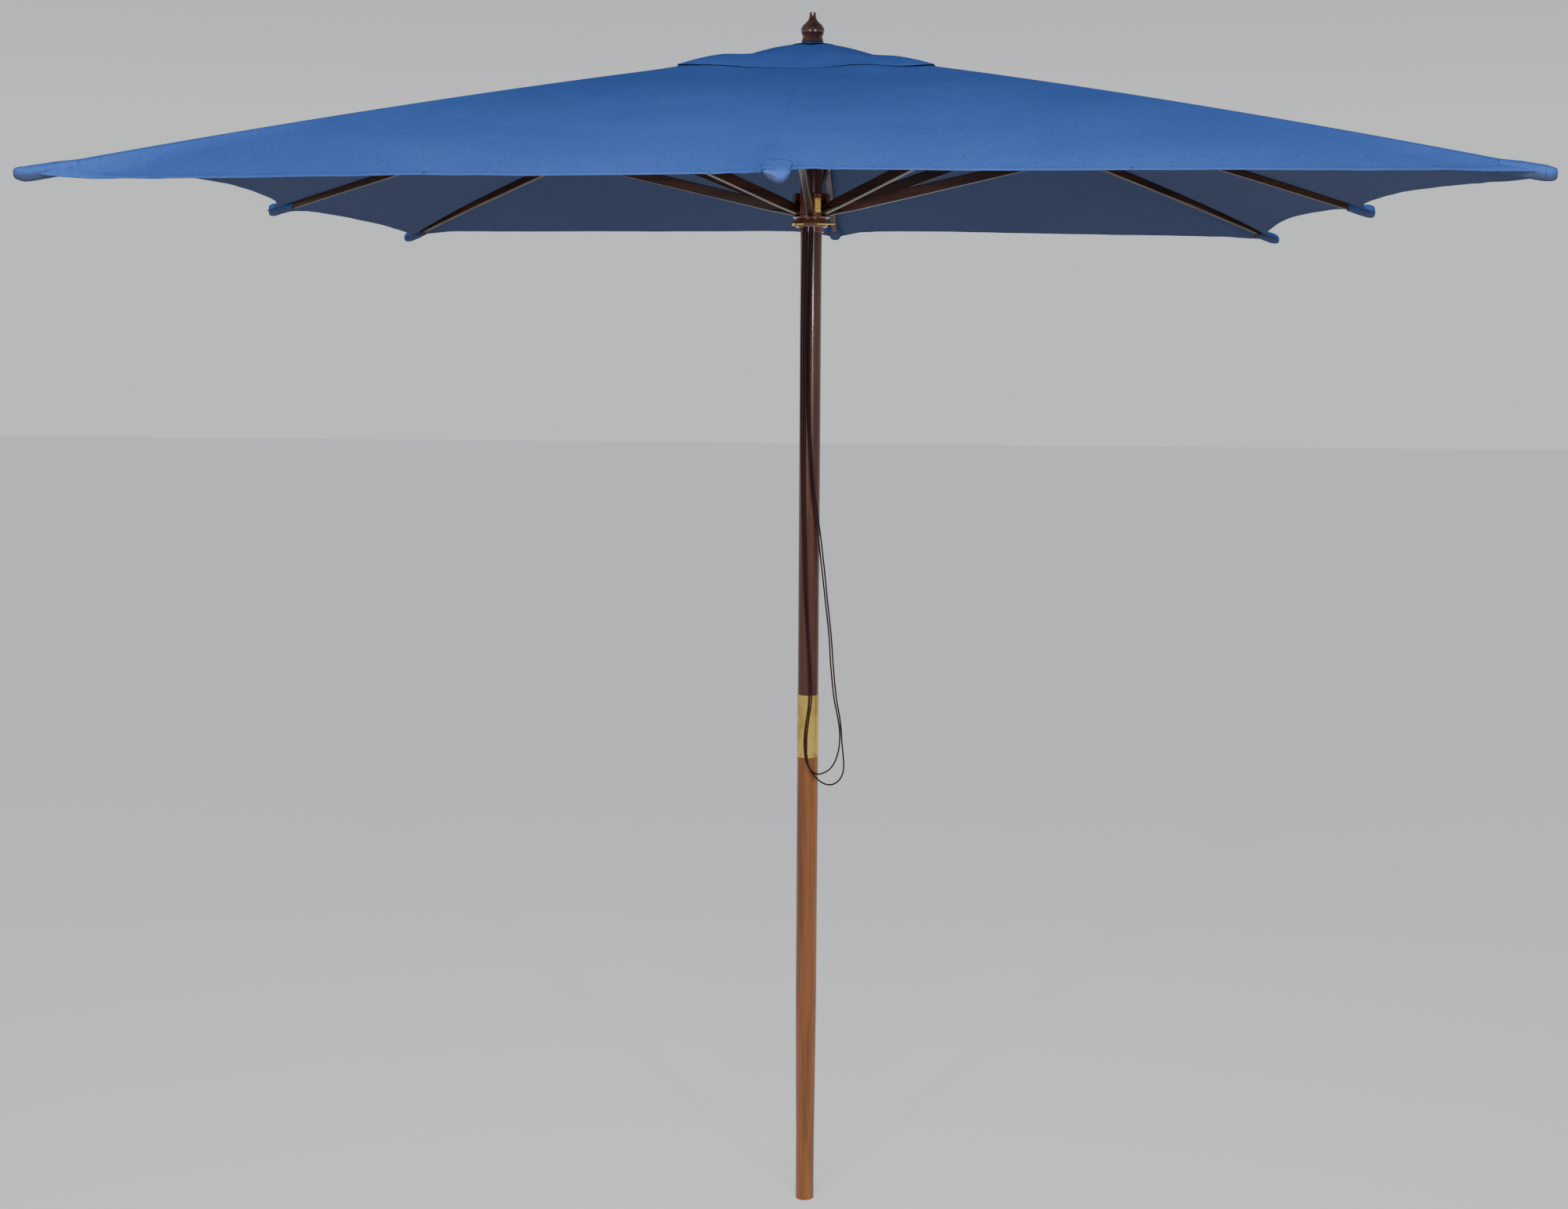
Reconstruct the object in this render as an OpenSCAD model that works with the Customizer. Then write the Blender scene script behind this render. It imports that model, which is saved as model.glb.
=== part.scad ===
// Square wooden market umbrella: two-part pole, eight ribs, eight struts,
// a sliding runner, a pull rope, a turned finial and a vented fabric canopy.
// Units are millimetres. The origin is the centre of the pole's foot, +Z is up,
// -Y is the front. Ribs are numbered from +X, counter-clockwise, 45 degrees apart.

/* [Canopy] */
// Half the width of the square canopy, from the pole to a middle rib's tip
half_w = 1219; // [1200:1:1240]
// Height of the rib line at the pole's axis
ridge_z = 2620; // [2610:1:2630]
// Height of the rib line at the canopy's edge
edge_z = 2278; // [2265:1:2290]
// How far a rib bows up over its chord
rib_bow = 14; // [8:1:16]
// Half the width of the vent cap
cap_half = 280; // [200:5:320]
// How far the edge is cut back in the middle between two ribs
scallop = 72; // [40:1:120]
// How far the edge hangs below the rib line between two ribs
edge_hang = 8; // [0:1:20]
// Half the width of the vent hole under the cap
vent_half = 160; // [120:5:200]
// Thickness of the cloth
cloth_t = 1; // [0.8:0.1:1.5]

/* [Frame] */
// Width of a rib across its sides
rib_w = 14.6; // [12:0.2:15]
// Depth of a middle rib at the hub
rib_deep = 20; // [16:1:20]
// Width of a strut across its sides
strut_w = 13.6; // [11:0.2:14]
// Distance from the hub pivot to a middle rib's strut pin
link_len = 637; // [634:1:640]
// Height of the rib pivots in the hub
pivot_z = 2566; // [2565:0.5:2568]
// Distance from the pole's axis to the pivots of hub and runner
pivot_r = 37; // [36:0.5:38]

/* [Pole] */
// Radius of the upper pole
pole_r = 23.5; // [22:0.1:23.6]
// Height at which the lower pole meets the ferrule
ferrule_z = 1058; // [1000:1:1100]
// Length of the ferrule
ferrule_len = 146; // [120:1:160]
// Radius of the pole's straight foot
foot_r = 21.5; // [19:0.5:22]

/* [Hidden] */
$fn = 48;

wood = "sienna";
brass = "goldenrod";
cloth = "steelblue";

// Lines of the roof.
slope = (ridge_z - edge_z) / half_w;
root2 = sqrt(2);
// Height of the rib line over a point whose larger plan coordinate is s.
function roof(s) = ridge_z - slope * s + 4 * rib_bow * s / half_w * (1 - s / half_w);
cap_rise = 20;
cap_slope = 0.285;
cap_start = 30;
function cap(s) = ridge_z + cap_rise - cap_slope * s;

// Hinge pins and their bores.
pin_r = 2;
big_pin_r = 2.5;
bore_gap = 0.05;

// Middle rib: its depth tapers to the tip.
tip_deep = 12;
rib_gap = 0.6;
// Corner rib: deeper, and lower because the cloth has a ridge over it.
corner_deep = 24;
corner_gap = 2;
rib_steps = 12;
rib_inset = 14;

// Linkage. A middle rib's two links are equal, so the runner moves straight down.
open_angle = 13;
runner_z = pivot_z - 2 * link_len * sin(open_angle);
corner_link = 628;
corner_angle = 9.2;
corner_strut = 648;
mid_pin = [pivot_r + link_len * cos(open_angle), pivot_z - link_len * sin(open_angle)];
corner_pin = [
    pivot_r + corner_link * cos(corner_angle),
    pivot_z - corner_link * sin(corner_angle)
];
corner_strut_angle = asin((corner_pin[1] - runner_z) / corner_strut);

// Hub.
hub_r = 44;
hub_low = pivot_z - 18;
hub_top = pivot_z + 11;
pole_top = 2606;
hub_slot_w = 15.4;
hub_slot_r = 27.4;
rib_eye_r = 9;
rib_root_reach = 30;

// Strut ends.
strut_out_r = 9.5;
strut_in_r = 9;
strut_deep = 22;
strut_taper = 60;

// Bracket.
plate_t = 1.6;
rivet_r = 2;

// Runner.
runner_bore = 24.1;
runner_r = 41;
runner_top = 2318;
runner_low = 2234;
collar_low = 2245;
collar_top = 2262;
slot_floor = 2267.6;
runner_slot_w = 14.4;
runner_slot_r = 26.6;
plate_azimuth = -67.5;
plate_back = 40.2;
stop_y = -30.5;
stop_z = 2252;

// Pole and ferrule.
spigot_len = 74;
ferrule_top = ferrule_z + ferrule_len;
ferrule_in = pole_r + 0.05;
ferrule_out = 24.5;
lower_r = 24;
joint_z = ferrule_top - spigot_len;
foot_len = 150;
taper_top = 480;
stop_hole_z = 2222;

// Pulley.
pulley_z = 2500;
pulley_r = 20;
pulley_w = 8;
pulley_slot = 10;
axle_r = 2.5;

// Rope: diameter 4, eight sides. Each route starts and ends under the collar.
rope_d = 4;
rope_sides = 8;
rope_a_route = [
    [-1, -31, 2245], [-2, -30.5, 2225], [-3, -29.5, 2190], [-5, -28.5, 2100],
    [-7, -28, 1970], [-5, -28.5, 1850], [1, -29, 1740], [6, -28.5, 1675],
    [14, -26, 1620], [21, -22, 1570], [29, -17, 1500], [39, -13, 1412],
    [47, -11, 1340], [52, -10, 1266], [60, -11, 1194], [69, -13, 1150],
    [73, -12, 1121], [73, -10, 1094], [69, -11, 1067], [62, -14, 1048],
    [52, -19, 1034], [38, -25, 1026], [24, -30, 1024], [12, -32, 1030],
    [3, -32, 1043], [-3, -31, 1060], [-6, -30, 1085], [-6, -30, 1110],
    [-2, -31, 1145], [3, -31, 1180], [5, -31, 1212], [3, -29.5, 1260],
    [-2, -29, 1340], [-8, -28, 1440], [-13, -26, 1580], [-17, -23.5, 1750],
    [-19, -22, 1950], [-18, -23.5, 2120], [-16, -26, 2200], [-15, -27, 2245]
];
rope_b_route = [
    [5, -31, 2245], [3.5, -30, 2190], [0.5, -29, 2100], [-1.5, -29, 1970],
    [0.5, -29, 1850], [6.5, -28.5, 1740], [11.5, -27, 1675], [19, -22.5, 1620],
    [26, -18.5, 1570], [34.5, -15, 1500], [44, -15, 1412], [52, -14, 1340],
    [57.5, -9, 1266], [65, -7, 1194], [73, -8, 1150], [77, -16, 1121],
    [78.5, -12, 1094], [81, -9, 1067], [83, -10, 1040], [80, -13, 1020],
    [71, -18, 1006], [57, -24, 999], [42, -29, 1001], [28, -33, 1010],
    [17, -36, 1022], [8, -37, 1036], [2, -36, 1052], [-1, -34, 1075],
    [-0.5, -33, 1110], [3, -34, 1145], [8, -34, 1180], [10, -33, 1212],
    [8, -31, 1260], [3, -30.5, 1340], [-3, -29.5, 1440], [-8, -28.5, 1580],
    [-12, -27, 1750], [-14, -26, 1950], [-11, -28.5, 2190], [-9.5, -31, 2245]
];

function unit(v) = v / norm(v);
// Direction of a route at point i.
function heading(route, i) =
    i == 0 || i == len(route) - 1
        ? [0, 0, i == 0 ? -1 : 1]
        : unit(route[i + 1] - route[i - 1]);
// One ring of a tube: the sides start from the X direction.
function ring(p, d, r, sides) =
    let (side = unit(cross([0, 1, 0], d)), other = cross(d, side))
    [for (k = [0:sides - 1])
        p + r * (cos(360 * k / sides) * side + sin(360 * k / sides) * other)];

// A tube that follows a route, closed with a flat face at each end.
module tube(route, d, sides) {
    n = len(route);
    points = [for (i = [0:n - 1]) each ring(route[i], heading(route, i), d / 2, sides)];
    walls = [for (i = [0:n - 2], k = [0:sides - 1])
        let (m = (k + 1) % sides)
        [i * sides + k, i * sides + m, (i + 1) * sides + m, (i + 1) * sides + k]];
    first = [for (k = [0:sides - 1]) sides - 1 - k];
    last = [for (k = [0:sides - 1]) (n - 1) * sides + k];
    polyhedron(points, concat([first], [last], walls));
}

// Turns a shape drawn in the plane of rib i, with x outwards and y up, into a bar.
module in_rib_plane(i, w) {
    rotate([0, 0, 45 * i])
        rotate([90, 0, 0])
            translate([0, 0, -w / 2])
                linear_extrude(w) children();
}

// A cylinder across the plane of rib i at [distance from the axis, height].
module cross_pin(i, at, r, w) {
    rotate([0, 0, 45 * i])
        translate([at[0], w / 2, at[1]])
            rotate([90, 0, 0]) cylinder(r = r, h = w);
}

function is_corner(i) = i % 2 == 1;
function rib_stretch(i) = is_corner(i) ? root2 : 1;
function rib_depth(i) = is_corner(i) ? corner_deep : rib_deep;
function rib_top(i, r) = roof(r / rib_stretch(i)) - (is_corner(i) ? corner_gap : rib_gap);
function strut_at(i) = is_corner(i) ? corner_pin : mid_pin;

module rib_outline(i) {
    reach = half_w * rib_stretch(i) - rib_inset;
    stops = [for (k = [0:rib_steps]) pivot_r + (reach - pivot_r) * k / rib_steps];
    over = [for (r = stops) [r, rib_top(i, r)]];
    under = [for (k = [rib_steps:-1:0])
        [stops[k], rib_top(i, stops[k]) - rib_depth(i)
            - (tip_deep - rib_depth(i)) * k / rib_steps]];
    polygon(concat(over, under));
}

function rivets(i) =
    let (r = strut_at(i)[0], z = rib_top(i, r) - 0.45 * rib_depth(i))
    [[r - 24, z + 24 * slope / rib_stretch(i)], [r + 24, z - 24 * slope / rib_stretch(i)]];

// The rib's inner end: a web that reaches down to the hinge pin.
module rib_root(i) {
    inner = pivot_r - rib_eye_r;
    outer = pivot_r + rib_root_reach;
    polygon([
        [inner, pivot_z], [pivot_r + rib_eye_r, pivot_z],
        [outer, rib_top(i, outer) - rib_depth(i) + 1], [outer, rib_top(i, outer) - 2],
        [pivot_r, rib_top(i, pivot_r) - 0.5], [inner, rib_top(i, inner) - 5]
    ]);
}

module rib(i) {
    color(wood)
        difference() {
            union() {
                in_rib_plane(i, rib_w) {
                    rib_outline(i);
                    rib_root(i);
                }
                cross_pin(i, [pivot_r, pivot_z], rib_eye_r, rib_w);
            }
            cross_pin(i, [pivot_r, pivot_z], pin_r + bore_gap, 2 * rib_w);
            for (at = rivets(i)) cross_pin(i, at, rivet_r, 2 * rib_w);
        }
}

// A cheek's outline: a bar over its two rivets and a round lobe around the hinge pin.
module cheek_outline(at, holes, eye) {
    polygon([
        holes[0] + [-eye, -eye / 2], holes[0] + [-eye / 2, eye * 0.8],
        holes[1] + [eye / 2, eye * 0.8], holes[1] + [eye, -eye / 2],
        at + [eye, 0], at + [-eye, 0]
    ]);
    translate(at) circle(r = eye);
}

// Two brass cheeks riveted to a rib's sides, with the strut's hinge pin across them.
module rib_bracket(i) {
    at = strut_at(i);
    holes = rivets(i);
    eye = 7;
    span = rib_w + 2 * plate_t;
    color(brass) {
        for (side = [-1, 1])
            rotate([0, 0, 45 * i])
                translate([0, side * (rib_w + plate_t) / 2, 0])
                    rotate([90, 0, 0])
                        translate([0, 0, -plate_t / 2])
                            linear_extrude(plate_t) cheek_outline(at, holes, eye);
        cross_pin(i, at, big_pin_r, span + 1.6);
        for (hole = holes) cross_pin(i, hole, rivet_r, span + 1.6);
    }
}

module strut(i) {
    out = strut_at(i);
    length = is_corner(i) ? corner_strut : link_len;
    angle = is_corner(i) ? corner_strut_angle : open_angle;
    inner = [out[0] - length * cos(angle), runner_z];
    ahead = [cos(angle), sin(angle)];
    up = [-sin(angle), cos(angle)];
    color(wood)
        difference() {
            union() {
                in_rib_plane(i, strut_w)
                    polygon([
                        inner + strut_in_r * up,
                        inner + strut_taper * ahead + strut_deep / 2 * up,
                        out - strut_taper * ahead + strut_deep / 2 * up,
                        out + strut_out_r * up, out - strut_out_r * up,
                        out - strut_taper * ahead - strut_deep / 2 * up,
                        inner + strut_taper * ahead - strut_deep / 2 * up,
                        inner - strut_in_r * up
                    ]);
                cross_pin(i, inner, strut_in_r, strut_w);
                cross_pin(i, out, strut_out_r, strut_w);
            }
            cross_pin(i, out, big_pin_r + bore_gap, 2 * strut_w);
            cross_pin(i, inner, pin_r + (is_corner(i) ? 0 : bore_gap), 2 * strut_w);
        }
}

// A corner strut's inner pin: it ends flush and floats in the runner's open slot.
module strut_pin(i) {
    inner = [corner_pin[0] - corner_strut * cos(corner_strut_angle), runner_z];
    color(brass) cross_pin(i, inner, pin_r, strut_w);
}

// Cloth over one rib, as a thin closed shell. Each column runs outwards, and a
// column's share says where it lies between the rib (0) and the panel's middle (1).
shares = [-1, -0.55, -0.16, -0.05, -0.02, 0, 0.02, 0.05, 0.16, 0.55, 1];
// How much of the scallop and of the hang each column takes.
cut_parts = [1, 0.92, 0.78, 0.68, 0, 0, 0, 0.68, 0.78, 0.92, 1];
hang_parts = [1, 1, 0.8, 0.3, 0, 0, 0, 0.3, 0.8, 1, 1];
seam_gap = 0.6;

// Plan position at distance s from the pole, on gore i's column k.
function gore_xy(i, s, share) =
    let (across = (abs(share) * 0.5 * s - (abs(share) == 1 ? seam_gap : 0)) * sign(share))
    is_corner(i)
        ? (share >= 0 ? [s - across, s] : [s, s + across])
        : [s, across];

// Height of the main sheet and of the vent cap at distance s, on column k.
function sheet_height(s, k) = roof(s) - edge_hang * hang_parts[k] * pow(s / half_w, 4);
function height(s, k, on_cap) = on_cap ? cap(s) : sheet_height(s, k);

module gore_shell(i, start, ends, on_cap) {
    rows = 6;
    columns = len(shares);
    layer = [for (t = [0:rows], k = [0:columns - 1])
        let (s = start + (ends[k] - start) * t / rows, at = gore_xy(i, s, shares[k]))
        [at[0], at[1], height(s, k, on_cap)]];
    count = len(layer);
    points = concat(layer, [for (p = layer) p + [0, 0, cloth_t]]);
    function id(t, k, level) = level * count + t * columns + k;
    cells = [for (t = [0:rows - 1], k = [0:columns - 2]) each [
        [id(t, k, 0), id(t + 1, k, 0), id(t + 1, k + 1, 0)],
        [id(t, k, 0), id(t + 1, k + 1, 0), id(t, k + 1, 0)],
        [id(t, k, 1), id(t + 1, k + 1, 1), id(t + 1, k, 1)],
        [id(t, k, 1), id(t, k + 1, 1), id(t + 1, k + 1, 1)]
    ]];
    ring_ids = concat(
        [for (k = [0:columns - 1]) [0, k]],
        [for (t = [1:rows]) [t, columns - 1]],
        [for (k = [columns - 2:-1:0]) [rows, k]],
        [for (t = [rows - 1:-1:1]) [t, 0]]
    );
    rim = len(ring_ids);
    edges = [for (n = [0:rim - 1])
        let (a = ring_ids[n], b = ring_ids[(n + 1) % rim])
        [id(a[0], a[1], 0), id(b[0], b[1], 0), id(b[0], b[1], 1), id(a[0], a[1], 1)]];
    rotate([0, 0, is_corner(i) ? 45 * (i - 1) : 45 * i])
        polyhedron(points, concat(cells, edges));
}

module canopy_gore(i) {
    main_ends = [for (part = cut_parts) half_w - scallop * part];
    cap_ends = [for (part = cut_parts) cap_half];
    color(cloth) {
        gore_shell(i, vent_half, main_ends, false);
        gore_shell(i, cap_start, cap_ends, true);
    }
}

module lower_pole() {
    color(wood)
        rotate_extrude()
            polygon([
                [0, 0], [foot_r, 0], [foot_r, foot_len], [lower_r, taper_top],
                [lower_r, ferrule_z], [pole_r, ferrule_z], [pole_r, joint_z], [0, joint_z]
            ]);
}

module ferrule() {
    bead = 1;
    color(brass)
        difference() {
            rotate_extrude()
                polygon([
                    [ferrule_in - 0.05, ferrule_z], [ferrule_out - bead, ferrule_z],
                    [ferrule_out, ferrule_z + bead], [ferrule_out, ferrule_top - bead],
                    [ferrule_out - bead, ferrule_top], [ferrule_in, ferrule_top],
                    [ferrule_in, joint_z], [ferrule_in - 0.05, joint_z]
                ]);
            for (at = screw_places) at_screw(at) cylinder(r = screw_r + screw_gap, h = 10, center = true);
        }
}

// Screws: [azimuth, height] in the ferrule's front.
screw_r = 2;
screw_gap = 0.15;
screw_head = [[0, 0], [3.2, 0], [3, 0.8], [1.6, 1.4], [0, 1.6]];
screw_places = [[-94, ferrule_z + 12], [-110, ferrule_top - 37], [88, ferrule_z + 12]];

module at_screw(at) {
    rotate([0, 0, at[0]])
        translate([ferrule_out, 0, at[1]])
            rotate([0, 90, 0]) children();
}

module ferrule_screws() {
    color(brass)
        for (at = screw_places)
            at_screw(at) {
                translate([0, 0, -0.8]) cylinder(r = screw_r, h = 1.2);
                translate([0, 0, 0.03]) rotate_extrude() polygon(screw_head);
            }
}

module upper_pole() {
    slot_h = 2 * pulley_r + 10;
    color(wood)
        difference() {
            translate([0, 0, joint_z]) cylinder(r = pole_r, h = pole_top - joint_z);
            translate([-pulley_slot / 2, -pole_r - 5, pulley_z - slot_h / 2])
                cube([pulley_slot, 2 * pole_r + 10, slot_h]);
            along_x(pulley_z, axle_r, 2 * pole_r + 10);
            along_x(stop_hole_z, 3, 2 * pole_r + 10);
            translate([0, 0, pole_top - 36]) cylinder(r = 4, h = 60);
        }
}

// A cylinder along X through the pole's axis.
module along_x(z, r, length) {
    translate([-length / 2, 0, z]) rotate([0, 90, 0]) cylinder(r = r, h = length);
}

module pulley_axle() {
    color(brass) along_x(pulley_z, axle_r, 2 * pole_r - 2);
}

module pulley_wheel() {
    rim = pulley_w / 2;
    color(brass)
        translate([0, 0, pulley_z])
            rotate([0, 90, 0])
                rotate_extrude()
                    polygon([
                        [axle_r + bore_gap, -rim], [pulley_r, -rim], [pulley_r, -rim + 1],
                        [pulley_r - 4, 0], [pulley_r, rim - 1], [pulley_r, rim],
                        [axle_r + bore_gap, rim]
                    ]);
}

module top_hub() {
    color(wood)
        difference() {
            rotate_extrude()
                polygon([
                    [pole_r, hub_low], [30, hub_low], [hub_r - 3, hub_low + 6], [hub_r, hub_low + 10],
                    [hub_r, hub_top - 3], [hub_r - 3, hub_top], [pole_r, hub_top]
                ]);
            for (i = [0:7])
                rotate([0, 0, 45 * i])
                    translate([hub_slot_r, -hub_slot_w / 2, hub_low - 1])
                        cube([hub_r, hub_slot_w, hub_top - hub_low + 2]);
            for (i = [0:7]) cross_pin(i, [pivot_r, pivot_z], pin_r, 24);
        }
}

module hub_pins() {
    color(brass)
        for (i = [0:7]) cross_pin(i, [pivot_r, pivot_z], pin_r, 24);
}

module crown_block() {
    color(wood)
        rotate_extrude()
            polygon([
                [4, pole_top], [22, pole_top], [22, 2626], [16, 2632], [4, 2634.4]
            ]);
}

// Cloth disc that closes the canopy's top under the finial. It clears the cap's ridges.
crown_r = 52;
crown_hole_r = 4.2;
function crown_z(r) = cap(r / root2) + cloth_t + seam_gap;

module canopy_crown() {
    color(cloth)
        rotate_extrude()
            polygon([
                [crown_hole_r, crown_z(crown_hole_r)], [crown_r, crown_z(crown_r)],
                [crown_r, crown_z(crown_r) + cloth_t], [crown_hole_r, crown_z(crown_hole_r) + cloth_t]
            ]);
}

module finial_stud() {
    color(brass) translate([0, 0, pole_top - 36]) cylinder(r = 4, h = 80);
}

module finial() {
    seat = cap(0) + 3.8;
    color(wood)
        rotate_extrude()
            polygon([
                [4, seat], [23.5, seat - 5.6], [24.6, seat - 3], [23.5, seat + 1.5],
                [21.6, 2650], [23, 2654.5], [25.4, 2660], [26.2, 2665], [25, 2670.5],
                [20.5, 2677], [14.5, 2682.5], [10, 2687.5], [7.8, 2692], [7.2, 2697],
                [7.2, 2702.6], [6.2, 2703.5], [0, 2703.5], [0, 2650], [4, 2650]
            ]);
}

module runner() {
    color(wood)
        difference() {
            rotate_extrude()
                polygon([
                    [runner_bore, runner_low], [26.6, runner_low], [27.4, runner_low + 1.5],
                    [27.4, collar_low], [33, collar_low], [35.4, collar_low + 3],
                    [36.2, collar_low + 8], [35.4, collar_top - 3], [33.6, collar_top],
                    [33.6, collar_top + 2.5], [38.5, collar_top + 3], [runner_r, collar_top + 5],
                    [runner_r, collar_top + 9], [runner_r - 1.4, collar_top + 10],
                    [runner_r - 1.4, collar_top + 11.4], [runner_r, collar_top + 12.4],
                    [runner_r, runner_top - 3], [runner_r - 3, runner_top],
                    [runner_bore, runner_top]
                ]);
            for (i = [0:7])
                rotate([0, 0, 45 * i])
                    translate([runner_slot_r, -runner_slot_w / 2, slot_floor])
                        cube([runner_r, runner_slot_w, runner_top]);
            for (i = [0:2:7]) cross_pin(i, [pivot_r, runner_z], pin_r, 22);
            rotate([0, 0, plate_azimuth])
                translate([plate_back, -runner_r, collar_low])
                    cube([10, 2 * runner_r, 90]);
            translate([-runner_r, stop_y, stop_z])
                rotate([0, 90, 0]) cylinder(r = big_pin_r + bore_gap, h = 2 * runner_r);
        }
}

module runner_pins() {
    color(brass)
        for (i = [0:2:7]) cross_pin(i, [pivot_r, runner_z], pin_r, 22);
}

// Brass plate with two round-headed screws, where the pull rope is made fast.
module rope_plate() {
    plate_h = 30;
    plate_w = 13;
    plate_low = 2276;
    screw_in = 5;
    color(brass)
        rotate([0, 0, plate_azimuth])
            translate([plate_back, 0, plate_low]) {
                translate([0, -plate_w / 2, 0]) cube([1.8, plate_w, plate_h]);
                for (z = [screw_in, plate_h - screw_in])
                    translate([1.8, 0, z])
                        rotate([0, 90, 0])
                            rotate_extrude() polygon([[0, 0], [2.6, 0], [2.2, 1], [1.2, 1.7], [0, 1.9]]);
            }
}

// Brass stop pin with a turned knob, through the front of the runner's collar.
module stop_pin() {
    knob_end = -41;
    tip = 53;
    color(brass)
        translate([knob_end, stop_y, stop_z])
            rotate([0, 90, 0])
                rotate_extrude()
                    polygon([
                        [0, 0], [3.4, 0.3], [5.2, 2], [5.8, 4.5], [5.2, 7], [3.4, 8.6],
                        [big_pin_r, 9.4], [big_pin_r, tip - knob_end - 1],
                        [big_pin_r - 1, tip - knob_end], [0, tip - knob_end]
                    ]);
}

module rope_a() {
    color("maroon") tube(rope_a_route, rope_d, rope_sides);
}

module rope_b() {
    color("maroon") tube(rope_b_route, rope_d, rope_sides);
}

lower_pole();
ferrule();
ferrule_screws();
upper_pole();
top_hub();
hub_pins();
crown_block();
finial_stud();
finial();
canopy_crown();
pulley_axle();
pulley_wheel();
for (i = [0:7]) {
    rib(i);
    rib_bracket(i);
    canopy_gore(i);
    strut(i);
}
for (i = [1:2:7])
    strut_pin(i);
runner();
runner_pins();
rope_plate();
stop_pin();
rope_a();
rope_b();
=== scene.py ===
"""Looks of the square market umbrella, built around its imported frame.

Metres, in the row frame: the origin is the centre of the pole's foot, +Z is up and -Y is the front.
Rib i points 45 * i degrees from +X. Even ribs run to the middles of the sides, odd ones to the corners.
"""

import math

import bpy
import numpy as np
from mathutils import Matrix, Vector, noise


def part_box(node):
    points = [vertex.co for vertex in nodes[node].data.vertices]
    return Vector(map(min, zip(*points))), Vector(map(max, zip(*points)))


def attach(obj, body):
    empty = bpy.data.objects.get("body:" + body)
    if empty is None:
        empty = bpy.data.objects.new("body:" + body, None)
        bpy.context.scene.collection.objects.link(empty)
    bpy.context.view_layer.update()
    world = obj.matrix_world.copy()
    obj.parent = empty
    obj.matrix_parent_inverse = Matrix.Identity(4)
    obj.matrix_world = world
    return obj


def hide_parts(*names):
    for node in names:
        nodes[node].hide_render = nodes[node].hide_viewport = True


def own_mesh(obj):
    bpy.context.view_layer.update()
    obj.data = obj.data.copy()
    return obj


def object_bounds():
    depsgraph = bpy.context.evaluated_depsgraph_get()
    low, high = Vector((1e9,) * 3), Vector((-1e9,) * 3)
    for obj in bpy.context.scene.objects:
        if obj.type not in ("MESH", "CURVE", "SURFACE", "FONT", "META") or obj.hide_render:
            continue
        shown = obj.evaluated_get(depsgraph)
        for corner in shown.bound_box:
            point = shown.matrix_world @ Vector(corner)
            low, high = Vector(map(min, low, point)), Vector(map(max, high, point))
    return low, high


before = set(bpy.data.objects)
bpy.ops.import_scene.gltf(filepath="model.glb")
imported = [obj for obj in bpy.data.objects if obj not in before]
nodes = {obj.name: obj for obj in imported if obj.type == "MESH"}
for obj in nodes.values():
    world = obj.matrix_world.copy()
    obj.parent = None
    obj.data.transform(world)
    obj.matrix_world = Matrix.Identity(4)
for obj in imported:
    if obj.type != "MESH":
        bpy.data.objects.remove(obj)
cad_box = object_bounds()
MM = 0.001
RIBS = range(8)

# ---------------------------------------------------------------- camera, light and floor


def make_camera():
    """The camera stands right of the middle at eye height and looks slightly down."""
    distance, height = 4.457, 2.034
    azimuth, turn, pitch, roll = (math.radians(a) for a in (3.194, 0.715, 8.0, 0.30))
    data = bpy.data.cameras.new("camera")
    data.sensor_width = 36.0
    data.lens = 45.77
    data.clip_end = 100.0
    camera = bpy.data.objects.new("camera", data)
    bpy.context.scene.collection.objects.link(camera)
    look = (
        Matrix.Rotation(azimuth + turn, 4, "Z")
        @ Matrix.Rotation(math.pi / 2 - pitch, 4, "X")
        @ Matrix.Rotation(roll, 4, "Z")
    )
    place = Vector((distance * math.sin(azimuth), -distance * math.cos(azimuth), height))
    camera.matrix_world = Matrix.Translation(place) @ look
    bpy.context.scene.camera = camera


make_camera()

# ---------------------------------------------------------------- mesh helpers


def add_object(name, vertices, faces, smooth=True):
    mesh = bpy.data.meshes.new(name)
    points = [tuple(map(float, v)) for v in vertices]
    mesh.from_pydata(points, [], [tuple(map(int, f)) for f in faces])
    mesh.validate()
    mesh.update()
    mesh.polygons.foreach_set("use_smooth", [smooth] * len(mesh.polygons))
    made = bpy.data.objects.new(name, mesh)
    bpy.context.scene.collection.objects.link(made)
    return made


class Parts:
    """Collects vertices and faces of several shapes for one mesh."""

    def __init__(self):
        self.vertices = []
        self.faces = []

    def add(self, vertices, faces):
        base = len(self.vertices)
        self.vertices.extend(vertices)
        self.faces.extend([tuple(base + k for k in f) for f in faces])

    def grid(self, points, closed=False):
        """points[row][column]; closed joins the last column to the first."""
        rows, columns = len(points), len(points[0])
        last = columns if closed else columns - 1
        faces = [
            (
                r * columns + c,
                r * columns + (c + 1) % columns,
                (r + 1) * columns + (c + 1) % columns,
                (r + 1) * columns + c,
            )
            for r in range(rows - 1)
            for c in range(last)
        ]
        self.add([p for row in points for p in row], faces)

    def cap_ends(self, count, rows):
        """Closes the first and last ring of the closed grid that was added last."""
        base = len(self.vertices) - count * rows
        self.faces.append(tuple(base + k for k in reversed(range(count))))
        self.faces.append(tuple(base + (rows - 1) * count + k for k in range(count)))

    def make(self, name, smooth=True):
        return add_object(name, self.vertices, self.faces, smooth)


def resample(points, step):
    """The same polyline with points an even step apart."""
    points = np.asarray(points, float)
    lengths = np.linalg.norm(np.diff(points, axis=0), axis=1)
    along = np.concatenate([[0.0], np.cumsum(lengths)])
    count = max(2, int(round(along[-1] / step)) + 1)
    at = np.linspace(0.0, along[-1], count)
    return np.stack([np.interp(at, along, points[:, k]) for k in range(points.shape[1])], axis=1)


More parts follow.
